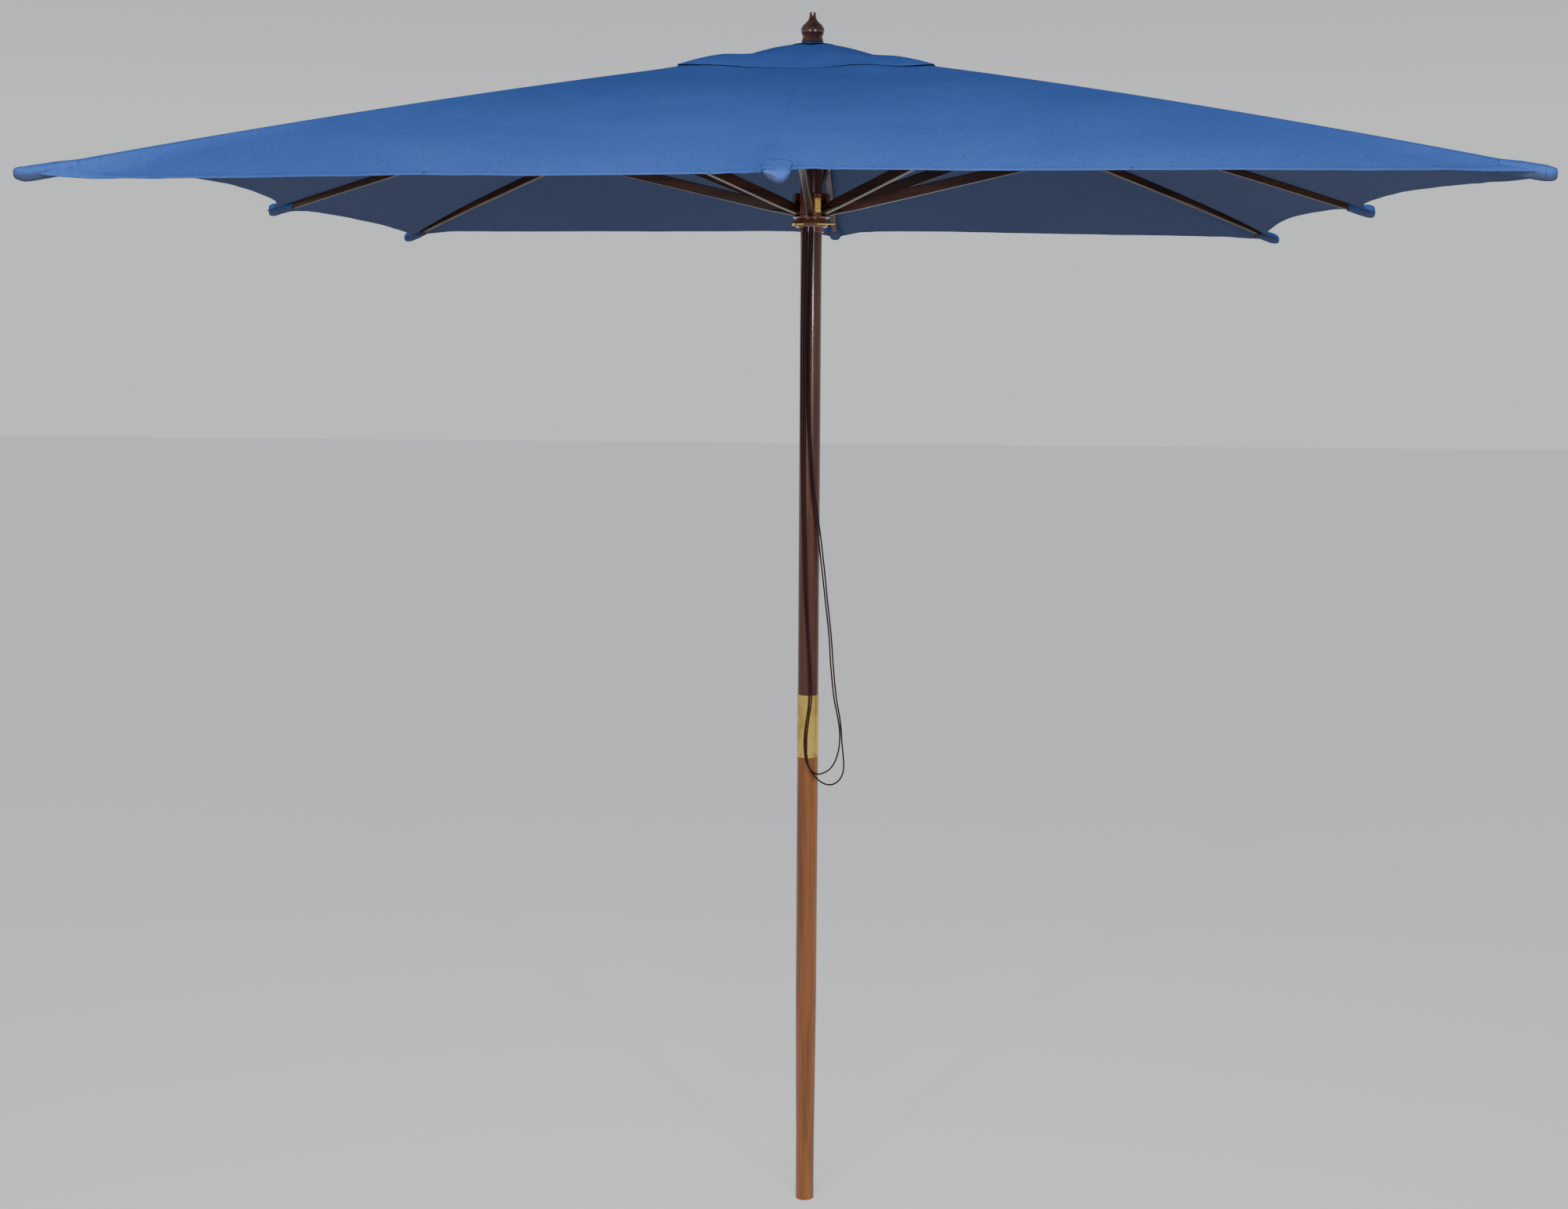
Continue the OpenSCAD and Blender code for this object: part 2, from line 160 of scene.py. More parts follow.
def smooth_route(points, per_stretch=24):
    """A Catmull-Rom curve through the points, with ends that leave straight."""
    p = np.asarray(points, float)
    p = np.vstack([2 * p[0] - p[1], p, 2 * p[-1] - p[-2]])
    gaps = np.sqrt(np.linalg.norm(np.diff(p, axis=0), axis=1))
    knots = np.concatenate([[0.0], np.cumsum(gaps)])
    curve = []
    for k in range(1, len(p) - 2):
        t0, t1, t2, t3 = knots[k - 1 : k + 3]
        t = np.linspace(t1, t2, per_stretch, endpoint=False)[:, None]
        a1 = (t1 - t) / (t1 - t0) * p[k - 1] + (t - t0) / (t1 - t0) * p[k]
        a2 = (t2 - t) / (t2 - t1) * p[k] + (t - t1) / (t2 - t1) * p[k + 1]
        a3 = (t3 - t) / (t3 - t2) * p[k + 1] + (t - t2) / (t3 - t2) * p[k + 2]
        b1 = (t2 - t) / (t2 - t0) * a1 + (t - t0) / (t2 - t0) * a2
        b2 = (t3 - t) / (t3 - t1) * a2 + (t - t1) / (t3 - t1) * a3
        curve.extend((t2 - t) / (t2 - t1) * b1 + (t - t1) / (t2 - t1) * b2)
    curve.append(p[-2])
    return np.array(curve)


# ---------------------------------------------------------------- pull rope

ROPE_D = 4.0 * MM
ROPE_STRANDS = 3
ROPE_LAY = 13 * MM
# The two strands' routes, in millimetres, as in the frame's source.
ROPE_A = [
    (-1, -31, 2245), (-2, -30.5, 2225), (-3, -29.5, 2190), (-5, -28.5, 2100),
    (-7, -28, 1970), (-5, -28.5, 1850), (1, -29, 1740), (6, -28.5, 1675),
    (14, -26, 1620), (21, -22, 1570), (29, -17, 1500), (39, -13, 1412),
    (47, -11, 1340), (52, -10, 1266), (60, -11, 1194), (69, -13, 1150),
    (73, -12, 1121), (73, -10, 1094), (69, -11, 1067), (62, -14, 1048),
    (52, -19, 1034), (38, -25, 1026), (24, -30, 1024), (12, -32, 1030),
    (3, -32, 1043), (-3, -31, 1060), (-6, -30, 1085), (-6, -30, 1110),
    (-2, -31, 1145), (3, -31, 1180), (5, -31, 1212), (3, -29.5, 1260),
    (-2, -29, 1340), (-8, -28, 1440), (-13, -26, 1580), (-17, -23.5, 1750),
    (-19, -22, 1950), (-18, -23.5, 2120), (-16, -26, 2200), (-15, -27, 2245),
]
ROPE_B = [
    (5, -31, 2245), (3.5, -30, 2190), (0.5, -29, 2100), (-1.5, -29, 1970),
    (0.5, -29, 1850), (6.5, -28.5, 1740), (11.5, -27, 1675), (19, -22.5, 1620),
    (26, -18.5, 1570), (34.5, -15, 1500), (44, -15, 1412), (52, -14, 1340),
    (57.5, -9, 1266), (65, -7, 1194), (73, -8, 1150), (77, -16, 1121),
    (78.5, -12, 1094), (81, -9, 1067), (83, -10, 1040), (80, -13, 1020),
    (71, -18, 1006), (57, -24, 999), (42, -29, 1001), (28, -33, 1010),
    (17, -36, 1022), (8, -37, 1036), (2, -36, 1052), (-1, -34, 1075),
    (-0.5, -33, 1110), (3, -34, 1145), (8, -34, 1180), (10, -33, 1212),
    (8, -31, 1260), (3, -30.5, 1340), (-3, -29.5, 1440), (-8, -28.5, 1580),
    (-12, -27, 1750), (-14, -26, 1950), (-11, -28.5, 2190), (-9.5, -31, 2245),
]


def rope(name, route, node):
    """A three-strand laid rope: each ring has three lobes, and the lobes turn along it."""
    sides, step = 12, 1.6 * MM
    path = resample(smooth_route(np.array(route) * MM), step)
    ahead = np.gradient(path, axis=0)
    ahead /= np.linalg.norm(ahead, axis=1)[:, None]
    side = np.cross(ahead, (0.0, 1.0, 0.0))
    side /= np.linalg.norm(side, axis=1)[:, None]
    other = np.cross(ahead, side)
    turn = 2 * np.pi * np.arange(len(path)) * step / ROPE_LAY
    angles = 2 * np.pi * np.arange(sides) / sides
    reach = ROPE_D / 2 * (0.86 + 0.14 * np.abs(np.cos(ROPE_STRANDS / 2 * angles)))
    a = angles[None, :] + turn[:, None]
    rings = (
        path[:, None, :]
        + (reach[None, :] * np.cos(a))[:, :, None] * side[:, None, :]
        + (reach[None, :] * np.sin(a))[:, :, None] * other[:, None, :]
    )
    parts = Parts()
    parts.grid([list(r) for r in rings], closed=True)
    parts.cap_ends(sides, len(rings))
    made = parts.make(name)
    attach(made, "slider")
    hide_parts(node)
    return made


ropes = [rope("pull_rope_a", ROPE_A, "rope_a"), rope("pull_rope_b", ROPE_B, "rope_b")]

# ---------------------------------------------------------------- materials


def new_material(name):
    material = bpy.data.materials.new(name)
    material.use_nodes = True
    tree = material.node_tree
    return material, tree, tree.nodes["Principled BSDF"]


def linked(tree, kind, **sockets):
    """Adds a node and fills its inputs: a (node, output name) pair is linked, anything else is set."""
    made = tree.nodes.new(kind)
    for key, value in sockets.items():
        socket = made.inputs[key.replace("_", " ")]
        if isinstance(value, tuple) and len(value) == 2 and hasattr(value[0], "outputs"):
            tree.links.new(value[0].outputs[value[1]], socket)
        else:
            socket.default_value = value
    return made


def ramp(tree, source, stops):
    made = tree.nodes.new("ShaderNodeValToRGB")
    tree.links.new(source[0].outputs[source[1]], made.inputs["Fac"])
    band = made.color_ramp
    while len(band.elements) < len(stops):
        band.elements.new(0.5)
    for element, (position, colour) in zip(band.elements, stops):
        element.position = position
        element.color = (*colour, 1.0)
    return made


def mapped(tree, scale, turn=0.0):
    """Row-frame coordinates, turned about Z and scaled."""
    place = tree.nodes.new("ShaderNodeTexCoord")
    about = linked(tree, "ShaderNodeMapping", Vector=(place, "Object"))
    about.inputs["Rotation"].default_value = (0.0, 0.0, turn)
    return linked(tree, "ShaderNodeMapping", Vector=(about, "Vector"), Scale=scale)


def grain(tree, scale, detail, turn=0.0, **more):
    """Noise with its own scale along each axis, for fibres, pores, scratches and blotches."""
    place = (mapped(tree, scale, turn), "Vector")
    return linked(tree, "ShaderNodeTexNoise", Vector=place, Scale=1.0, Detail=detail, **more)


def stretched(axis, lengthwise, crosswise):
    """A scale that is lengthwise along one axis and crosswise along the other two."""
    return tuple(lengthwise if name == axis else crosswise for name in "XYZ")


def ranged(tree, source, low, high, to_low=0.0, to_high=1.0):
    made = linked(tree, "ShaderNodeMapRange", Value=source)
    limits = {"From Min": low, "From Max": high, "To Min": to_low, "To Max": to_high}
    for key, value in limits.items():
        made.inputs[key].default_value = value
    return made


def calculated(tree, operation, first, second):
    made = tree.nodes.new("ShaderNodeMath")
    made.operation = operation
    for socket, (node, output) in zip(made.inputs, (first, second)):
        tree.links.new(node.outputs[output], socket)
    return made


def mixed(tree, blend, first, second, factor):
    """Two colours mixed. Each of the three is a node and its output's name, or a plain value."""
    made = tree.nodes.new("ShaderNodeMix")
    made.data_type = "RGBA"
    made.blend_type = blend
    for key, value in {"A": first, "B": second, "Factor": factor}.items():
        if isinstance(value, tuple) and hasattr(value[0], "outputs"):
            tree.links.new(value[0].outputs[value[1]], made.inputs[key])
        else:
            made.inputs[key].default_value = value
    return made


def bump(tree, shader, source, strength, distance, before=None):
    made = linked(tree, "ShaderNodeBump", Strength=strength, Distance=distance, Height=source)
    if before is not None:
        tree.links.new(before.outputs["Normal"], made.inputs["Normal"])
    tree.links.new(made.outputs["Normal"], shader.inputs["Normal"])
    return made


def thread_bands(tree, coordinates, axis, pitch):
    """Even ridges, one every two pitches along an axis."""
    scale = 0.5 / pitch / math.pi
    made = linked(tree, "ShaderNodeTexWave", Vector=(coordinates, "Vector"), Scale=scale)
    made.wave_type, made.bands_direction, made.wave_profile = "BANDS", axis, "SIN"
    return made


# Painted shade: the darker, greyer colour given to every downward-facing cloth face.
UNDERSIDE_PAINTED_SHADE = (0.046, 0.062, 0.124, 1.0)


def canvas(name, deep, pale, thread_pitch=1.1 * MM):
    """Woven dyed canvas: threads in the bump, soft fading in the colour, and painted shade: its
    downward faces are darker and greyer.
    """
    material, tree, shader = new_material(name)
    coordinates = mapped(tree, (1.0, 1.0, 1.0))
    fade = linked(
        tree, "ShaderNodeTexNoise",
        Vector=(coordinates, "Vector"), Scale=2.3, Detail=4.0, Roughness=0.55,
    )
    face = ramp(tree, (fade, "Fac"), [(0.3, deep), (0.72, pale)])
    normal = (tree.nodes.new("ShaderNodeTexCoord"), "Normal")
    side = linked(tree, "ShaderNodeSeparateXYZ", Vector=normal)
    faces_up = ranged(tree, (side, "Z"), -0.15, 0.15)
    # Downward-facing faces take the painted shade colour in place of the dye.
    base = mixed(tree, "MIX", UNDERSIDE_PAINTED_SHADE, (face, "Color"), (faces_up, "Result"))
    slub = grain(tree, stretched("X", 900.0, 60.0), 2.0, Roughness=0.6)
    cross_slub = grain(tree, stretched("Y", 900.0, 60.0), 2.0, Roughness=0.6)
    threads = calculated(tree, "ADD", (slub, "Fac"), (cross_slub, "Fac"))
    tone = ramp(tree, (threads, "Value"), [(0.7, (0.78, 0.78, 0.8)), (1.0, (1.12, 1.12, 1.1))])
    colour = mixed(tree, "MULTIPLY", (base, "Result"), (tone, "Color"), 1.0)
    tree.links.new(colour.outputs["Result"], shader.inputs["Base Color"])
    shader.inputs["Roughness"].default_value = 0.95
    shader.inputs["Specular IOR Level"].default_value = 0.06
    warp = thread_bands(tree, coordinates, "X", thread_pitch)
    weft = thread_bands(tree, coordinates, "Y", thread_pitch)
    weave = calculated(tree, "MULTIPLY", (warp, "Fac"), (weft, "Fac"))
    woven = bump(tree, shader, (weave, "Value"), 0.35, 0.4 * MM)
    bump(tree, shader, (threads, "Value"), 0.3, 0.5 * MM, woven)
    return material


def varnished_wood(name, stain, along="Z", turn=0.0, gloss=0.22, coat=0.35):
    """Stained hardwood under a clear coat: long fibres, pores and slow colour bands.

    The stain is three colours, dark to light. The fibres lie along an axis of the turned frame.
    """
    dark, mid, light = stain
    material, tree, shader = new_material(name)
    bands = grain(tree, stretched(along, 1.2, 26.0), 6.0, turn, Roughness=0.62, Distortion=0.7)
    fibres = grain(tree, stretched(along, 14.0, 900.0), 3.0, turn, Roughness=0.7)
    colour = ramp(tree, (bands, "Fac"), [(0.32, dark), (0.5, mid), (0.68, light)])
    pores = ramp(tree, (fibres, "Fac"), [(0.36, (0.55, 0.5, 0.48)), (0.52, (1.0, 1.0, 1.0))])
    stained = mixed(tree, "MULTIPLY", (colour, "Color"), (pores, "Color"), 0.6)
    tree.links.new(stained.outputs["Result"], shader.inputs["Base Color"])
    wear = grain(tree, (9.0, 9.0, 9.0), 5.0, turn)
    rough = ranged(tree, (wear, "Fac"), 0.3, 0.7, gloss, gloss + 0.16)
    tree.links.new(rough.outputs["Result"], shader.inputs["Roughness"])
    shader.inputs["Specular IOR Level"].default_value = 0.3
    shader.inputs["Coat Weight"].default_value = coat
    shader.inputs["Coat Roughness"].default_value = 0.1
    bump(tree, shader, (fibres, "Fac"), 0.12, 0.5 * MM)
    return material


def polished_brass(name, colour=(0.74, 0.50, 0.13), rough=0.13):
    """Lacquered brass with hairline scratches and a little tarnish."""
    material, tree, shader = new_material(name)
    tarnish = grain(tree, (22.0, 22.0, 22.0), 6.0)
    dull = tuple(0.62 * c for c in colour)
    bright = tuple(min(1.0, 1.12 * c) for c in colour)
    tint = ramp(tree, (tarnish, "Fac"), [(0.35, dull), (0.55, colour), (0.75, bright)])
    tree.links.new(tint.outputs["Color"], shader.inputs["Base Color"])
    shader.inputs["Metallic"].default_value = 1.0
    scratches = grain(tree, stretched("Z", 2500.0, 300.0), 2.0)
    level = ranged(tree, (scratches, "Fac"), 0.3, 0.75, rough, rough + 0.2)
    tree.links.new(level.outputs["Result"], shader.inputs["Roughness"])
    bump(tree, shader, (scratches, "Fac"), 0.05, 0.3 * MM)
    return material


def cord_fibre(name):
    """Dark burgundy cord with fine fibres across its strands."""
    material, tree, shader = new_material(name)
    fuzz = grain(tree, stretched("Z", 500.0, 1500.0), 3.0)
    tint = ramp(tree, (fuzz, "Fac"), [(0.3, (0.012, 0.003, 0.004)), (0.7, (0.045, 0.010, 0.012))])
    tree.links.new(tint.outputs["Color"], shader.inputs["Base Color"])
    shader.inputs["Roughness"].default_value = 0.7
    shader.inputs["Specular IOR Level"].default_value = 0.2
    bump(tree, shader, (fuzz, "Fac"), 0.4, 0.3 * MM)
    return material


cloth = canvas("blue_canvas", (0.038, 0.090, 0.330), (0.050, 0.118, 0.420))
thread = canvas("sewing_thread", (0.036, 0.086, 0.320), (0.052, 0.122, 0.420), 0.4 * MM)
brass = polished_brass("polished_brass")
burgundy = cord_fibre("burgundy_cord")
MAHOGANY = ((0.034, 0.009, 0.005), (0.075, 0.020, 0.010), (0.13, 0.040, 0.018))
TURNED = ((0.050, 0.014, 0.007), (0.11, 0.034, 0.015), (0.19, 0.064, 0.027))
FRAME_STAIN = ((0.020, 0.007, 0.004), (0.042, 0.015, 0.007), (0.075, 0.028, 0.012))
FOOT_STAIN = ((0.12, 0.036, 0.008), (0.25, 0.084, 0.016), (0.37, 0.142, 0.028))
DARK_STAIN = ((0.018, 0.006, 0.004), (0.042, 0.013, 0.007), (0.085, 0.028, 0.013))
pole_wood = varnished_wood("pole_mahogany", MAHOGANY)
foot_wood = varnished_wood("foot_mahogany", FOOT_STAIN)
finial_wood = varnished_wood("finial_mahogany", DARK_STAIN, gloss=0.14, coat=0.8)
turned_wood = varnished_wood("turned_mahogany", TURNED, gloss=0.16, coat=1.0)


def spoke_woods(name, gloss, coat):
    """Four woods for ribs or struts: two that lie in one line have the grain in that line."""
    return [
        varnished_wood(f"{name}_{i}", FRAME_STAIN, "X", -math.radians(45 * i), gloss, coat)
        for i in range(4)
    ]


rib_woods = spoke_woods("rib_mahogany", 0.4, 0.1)
strut_woods = spoke_woods("strut_mahogany", 0.3, 0.55)


def paint(made, material):
    made.data.materials.clear()
    made.data.materials.append(material)


for strand in ropes:
    paint(strand, burgundy)

# ---------------------------------------------------------------- the wooden and brass frame


def round_edges(made, width):
    """Softens a frame node's edges without touching its own mesh."""
    made.modifiers.new("weld", "WELD").merge_threshold = 0.01 * MM
    bevel = made.modifiers.new("bevel", "BEVEL")
    bevel.width = width
    bevel.segments = 2
    bevel.limit_method = "ANGLE"
    bevel.angle_limit = math.radians(40)
    bevel.harden_normals = False


FRAME_FINISH = {
    "upper_pole": pole_wood, "lower_pole": foot_wood, "finial": finial_wood,
    "top_hub": turned_wood, "crown_block": turned_wood, "runner": turned_wood,
}
BRASS_NODES = [
    "ferrule", "ferrule_screws", "hub_pins", "finial_stud", "pulley_axle", "pulley_wheel",
    "runner_pins", "rope_plate", "stop_pin",
]
FRAME_FINISH.update(dict.fromkeys(BRASS_NODES, brass))
for i in RIBS:
    FRAME_FINISH[f"rib_{i}"] = rib_woods[i % 4]
    FRAME_FINISH[f"strut_{i}"] = strut_woods[i % 4]
    FRAME_FINISH[f"rib_bracket_{i}"] = brass
    if i % 2:
        FRAME_FINISH[f"strut_pin_{i}"] = brass
for name, finish in FRAME_FINISH.items():
    paint(nodes[name], finish)
EDGE_ROUNDING = 1.4 * MM
for i in RIBS:
    round_edges(nodes[f"rib_{i}"], EDGE_ROUNDING)
    round_edges(nodes[f"strut_{i}"], EDGE_ROUNDING)

# ---------------------------------------------------------------- the canopy's lines

ROOT2 = math.sqrt(2)
HALF = cad_box[1][0]
EDGE_Z = 2278 * MM
RIDGE_RISE = 342 * MM
BOW = 14 * MM
CAP_RISE, CAP_SLOPE, CAP_HALF = 20 * MM, 0.285, 280 * MM
VENT_HALF = 160 * MM
SHEET_T = 0.9 * MM
SHEET_LIFT = 0.2 * MM
# Beside a rib's pocket the cloth's edge is a straight tongue, then steps back in a concave curve.
TONGUE = 15 * MM
TONGUE_STEP = 50 * MM
FILLET = {0: 42 * MM, 2: 42 * MM, 4: 42 * MM, 6: 16 * MM}
CORNER_FILLET = 21 * MM
# Panel k lies between ribs k and k + 1. Its edge hangs by two amounts in millimetres, beside the
# middle rib and beside the corner rib, and is cut back by its own amount.
HANGS = [(2, 20), (4, 26), (4, 9), (11, 30), (4, 8), (26, 39), (16, 18), (6, 40)]
CUTS = [78 * MM, 52 * MM, 51 * MM, 64 * MM, 94 * MM, 58 * MM, 54 * MM, 66 * MM]
# The cloth is tight over a rib and starts to hang beside it.
RIB_STRIP, RELEASE = 9 * MM, 22 * MM
SAG, CREASE, RIPPLE, PULL = 4 * MM, 2.6 * MM, 1.0 * MM, 1.6 * MM
TINY = 1e-6


def roof(s):
    """Height of the rib line where the larger plan coordinate is s."""
    t = s / HALF
    return EDGE_Z + RIDGE_RISE * (1 - t) + 4 * BOW * t * (1 - t)


def cap(s):
    return EDGE_Z + RIDGE_RISE + CAP_RISE - CAP_SLOPE * s


def softness(x, y, scale, seed):
    return noise.noise(Vector((x * scale, y * scale, seed)))


def plan(x, y):
    """Square distance, distance off the nearest rib's line, 0 to 1 between ribs, and the panel."""
    s, m = max(abs(x), abs(y)), min(abs(x), abs(y))
    off_rib = min(m, (s - m) / ROOT2)
    between = math.sin(math.pi * m / max(s, TINY))
    return s, off_rib, between, int(math.floor(math.atan2(y, x) / (math.pi / 4))) % 8


def dent(x, y, at, width):
    """A smooth bump of height 1 at a plan point."""
    return math.exp(-((x - at[0]) ** 2 + (y - at[1]) ** 2) / width**2)


def bulge(x, y):
    """Slack of both sheets along the vent cap's front edge."""
    right, left = dent(x, y, (0.12, -0.28), 0.06), dent(x, y, (-0.19, -0.27), 0.07)
    return 6 * MM * right + 5 * MM * left


def sheet_z(x, y):
    """The main sheet: flat over the ribs, hanging at its edge between them, with soft creases."""
    s, off_rib, between, panel = plan(x, y)
    reach = s / HALF
    free = 1 - math.exp(-max(0.0, off_rib - RIB_STRIP) / RELEASE)
    by_middle, by_corner = HANGS[panel]
    amount = by_middle + (by_corner - by_middle) * (min(abs(x), abs(y)) / max(s, TINY)) ** 2
    hang = amount * MM * reach**6 * free + SAG * reach**1.6 * between
    creases = CREASE * reach * between * softness(x, y, 3.2, 0.4)
    ripples = RIPPLE * between * softness(x, y, 11.0, 5.1)
    pleats = math.exp(-off_rib / (90 * MM)) * math.sin(off_rib / (9 * MM))
    pull = PULL * reach**8 * free * pleats
    return roof(s) + 0.5 * SHEET_T + SHEET_LIFT - hang + creases + ripples + pull + bulge(x, y)


def cap_z(x, y):
    """The vent cap: a slack dome whose loose edge comes down on the main sheet."""
    s, _, between, _ = plan(x, y)
    reach = min(s / CAP_HALF, 1.0)
    gap = (2.0 + 2.0 * softness(x, y, 11.0, 2.7)) * MM + bulge(x, y)
    fall = (cap(CAP_HALF) - roof(CAP_HALF) - gap) * reach**4
    puff = 6 * MM * math.sin(math.pi * reach) * (0.4 + 0.6 * between)
    loose = 1 - reach**6
    flutter = 4 * MM * reach * loose * (0.25 + 0.75 * between) * softness(x, y, 9.0, 2.7)
    lift = 3 * MM * dent(x, y, (-0.21, -0.20), 0.09)
    sink = 11 * MM * dent(x, y, (-0.125, -0.125), 0.045) + 8 * MM * dent(x, y, (0.13, -0.13), 0.06)
    free_z = cap(s) + 0.5 * SHEET_T + puff + flutter + (lift - sink) * loose - fall
    rest_on = roof(s) + 1.9 * MM + bulge(x, y)
    return max(free_z, rest_on)


def rib_frame(i):
    """Unit vectors along and across rib i, in plan."""
    a = math.radians(45 * i)
    return np.array([math.cos(a), math.sin(a)]), np.array([-math.sin(a), math.cos(a)])


def rib_stretch(i):
    """How much longer rib i is in plan than a middle rib."""
    return ROOT2 if i % 2 else 1.0


def gore_point(i, s, share):
    """Plan position on gore i at square distance s; share runs from -1 to 1 across the gore."""
    across = share * 0.5 * s
    if i % 2:
        x, y = (s - across, s) if share >= 0 else (s, s + across)
        turn = math.radians(45 * (i - 1))
    else:
        x, y = s, across
        turn = math.radians(45 * i)
    c, k = math.cos(turn), math.sin(turn)
    return c * x - k * y, k * x + c * y


def rib_distance(i, s, share):
    """How far a point at square distance s lies from gore i's rib, across it."""
    return abs(share) * 0.5 * s / rib_stretch(i)


NEAR_EDGE = 0.965 * HALF


def edge_s(i, share):
    """Square distance of the cloth's edge: long at the pocket, cut back in a curve beside it."""
    deepest = CUTS[i] if share > 0 else CUTS[i - 1]
    away = max(0.0, rib_distance(i, NEAR_EDGE, share) - TONGUE)
    beside = TONGUE_STEP * (1 - math.exp(-away / FILLET.get(i, CORNER_FILLET)))
    middle = (deepest - TONGUE_STEP) * math.sin(math.pi / 2 * abs(share)) ** 1.4
    return HALF - 3 * MM - beside - middle


def cap_edge_s(i, share):
    """Square distance of the vent cap's edge, pulled in a little at the corners."""
    if i % 2 == 0:
        return CAP_HALF
    return CAP_HALF - 17 * MM * math.exp(-((rib_distance(i, CAP_HALF, share) / (45 * MM)) ** 2))


# Distances from a rib, in millimetres, at which a gore has its columns.
COLUMNS = [
    0, 5, 9, 12, 14.5, 16, 18, 21, 24, 28, 33, 40, 50, 64, 84, 112, 150, 200, 260, 330, 400, 470, 540,
]
SHEET_ROWS = 44


def gore_shares(i):
    """Columns across a gore, close together beside the rib's pocket."""
    whole = rib_distance(i, NEAR_EDGE, 1.0) / MM
    shares = [v / whole for v in COLUMNS if v / whole < 0.97] + [1.0]
    return [-v for v in reversed(shares[1:])] + shares


def sheet_grid(i, start, end_of, height):
    """Rows of points from the inner edge to the outer one."""
    grid = []
    for r in range(SHEET_ROWS + 1):
        row = []
        for share in gore_shares(i):
            s = start + (end_of(share) - start) * (r / SHEET_ROWS)
            x, y = gore_point(i, s, share)
            row.append((x, y, height(x, y)))
        grid.append(row)
    return grid


def thicken(made, thickness):
    """Two faces of cloth, with no rim: smooth shading would darken it where two gores meet."""
    solid = made.modifiers.new("thickness", "SOLIDIFY")
    solid.thickness = thickness
    solid.offset = 0.0
    solid.use_rim = False


# ---------------------------------------------------------------- hems, seams and stitches

HEM, CAP_HEM, SEAM = 15 * MM, 10.5 * MM, 9 * MM
HEM_T, SEAM_T = 0.75 * MM, 0.55 * MM
STITCH_LEN, STITCH_STEP, STITCH_R = 3.4 * MM, 5.2 * MM, 0.45 * MM
CAP_START = 30 * MM


def band_along(parts, line, inward, height, width, thick):
    """A flat, round-edged band that lies in the cloth along a plan line."""
    upper = [(0.3 * MM, thick), (0.5 * width, 1.15 * thick), (width - MM, thick), (width, 0.3 * thick)]
    lower = [(p, -q) for p, q in reversed(upper)]
    section = [(-0.6 * MM, 0.0), *upper, *lower]
    rings = []
    for (x, y), (nx, ny) in zip(line, inward):
        ring = []
        for p, q in section:
            px, py = x + nx * p, y + ny * p
            ring.append((px, py, height(px, py) + q))
        rings.append(ring)
    parts.grid(rings, closed=True)
    parts.cap_ends(len(section), len(rings))


def inward_normals(line, toward):
    """Unit normals of a plan line, on the side of the point toward."""
    d = np.gradient(np.asarray(line, float), axis=0)
    normals = np.stack([-d[:, 1], d[:, 0]], axis=1)
    normals /= np.linalg.norm(normals, axis=1)[:, None]
    half_way = len(line) // 2
    if np.dot(normals[half_way], np.asarray(toward) - line[half_way]) < 0:
        normals = -normals
    return normals


def stitch_row(parts, line, lift):
    """Thread dashes along a line of 3-D points: each is a long octahedron."""
    points = resample(line, STITCH_STEP)
    for a, b in zip(points[:-1], points[1:]):
        middle = (a + b) / 2 + np.array([0, 0, lift])
        d = (b - a) / np.linalg.norm(b - a)
        side = np.cross(d, (0, 0, 1.0))
        side /= np.linalg.norm(side)
        up = np.cross(side, d)
        ends = [middle - d * STITCH_LEN / 2, middle + d * STITCH_LEN / 2]
        belt = [middle + STITCH_R * v for v in (side, up, -side, -up)]
        faces = [(0, 2 + (k + 1) % 4, 2 + k) for k in range(4)]
        faces += [(1, 2 + k, 2 + (k + 1) % 4) for k in range(4)]
        parts.add([tuple(p) for p in ends + belt], faces)


def rides_on_rib(made, i, material, folds=True):
    """Finishes a cloth piece that moves with rib i, and gives it a mesh of its own unless told not to.
    """
    paint(made, material)
    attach(made, f"rib_arm_{i}")
    if folds:
        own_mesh(made)
    return made


def lines_on_cloth(line, height):
    return np.array([(x, y, height(x, y)) for x, y in line])


def gore_trim(i):
    """Hems, the felled seam over the rib and their stitching, for one gore."""
    trim, stitches = Parts(), Parts()
    along, across = rib_frame(i)
    shares = gore_shares(i)
    fine = np.interp(np.linspace(0, len(shares) - 1, 4 * len(shares)), range(len(shares)), shares)
    centre_side, outer_side = along * -1.0, along * 3.0
    hems = [
        (lambda share: edge_s(i, share), sheet_z, centre_side, fine, HEM, HEM_T),
        (lambda share: cap_edge_s(i, share), cap_z, centre_side, shares, CAP_HEM, SEAM_T),
        (lambda share: VENT_HALF, sheet_z, outer_side, shares, CAP_HEM, SEAM_T),
    ]
    for end_of, height, toward, steps, width, thick in hems:
        line = np.array([gore_point(i, end_of(v), v) for v in steps])
        normals = inward_normals(line, toward)
        band_along(trim, line, normals, height, width, thick)
        for depth in (0.25 * width, 0.8 * width):
            row = lines_on_cloth(line + normals * depth, height)
            for lift in (HEM_T, -HEM_T):
                stitch_row(stitches, row, lift)
    seams = [(VENT_HALF, HALF - 40 * MM, sheet_z), (34 * MM, CAP_HALF - 24 * MM, cap_z)]
    for start, end, height in seams:
        middle = np.array([along * s * rib_stretch(i) for s in np.linspace(start, end, 60)])
        line = middle - across * SEAM / 2
        normals = np.repeat(across[None, :], len(line), axis=0)
        band_along(trim, line, normals, height, SEAM, SEAM_T)
        for side in (-0.32, 0.32):
            row = lines_on_cloth(middle + across * SEAM * side, height)
            stitch_row(stitches, row, SEAM_T + 0.1 * MM)
    rides_on_rib(trim.make(f"canopy_trim_{i}"), i, cloth)
    rides_on_rib(stitches.make(f"canopy_stitching_{i}", smooth=False), i, thread)
    return [f"canopy_trim_{i}", f"canopy_stitching_{i}"]


# ---------------------------------------------------------------- rib pockets

